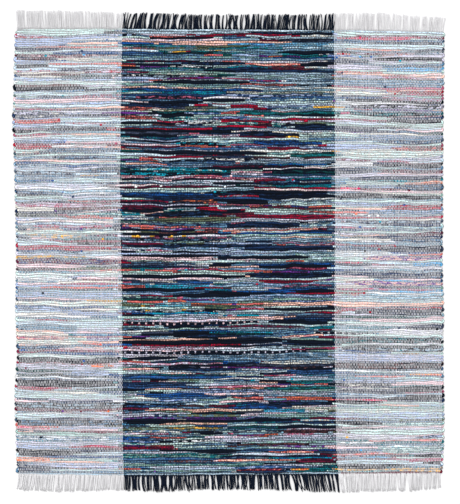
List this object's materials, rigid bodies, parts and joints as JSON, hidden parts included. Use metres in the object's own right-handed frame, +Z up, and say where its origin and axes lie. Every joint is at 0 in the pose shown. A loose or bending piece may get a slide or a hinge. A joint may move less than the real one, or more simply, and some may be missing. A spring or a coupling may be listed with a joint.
{
  "type": "rag rug",
  "caption": "Flat hand-woven rag rug, nearly square, with ribs of rag weft in a white, navy and white warp, turned selvedges and a cut fringe of warp ends at each end.",
  "frame": {"origin": "middle of the rug's box on the floor that it lies on", "axes": "+X across the rug, +Y along it towards the far fringe, +Z up out of the floor"},
  "size_m": [1.4064, 1.5766, 0.006],
  "materials": {
    "rag_weft": "matt torn cotton rags of mixed colours",
    "white_warp": "matt undyed cotton yarn",
    "navy_warp": "matt navy cotton yarn"
  },
  "bodies": {
    "root": {"rug_cloth": "rag_weft", "fringe_far_left": "white_warp", "fringe_far_centre": "navy_warp", "fringe_far_right": "white_warp", "fringe_near_left": "white_warp", "fringe_near_centre": "navy_warp", "fringe_near_right": "white_warp"}
  },
  "joints": []
}
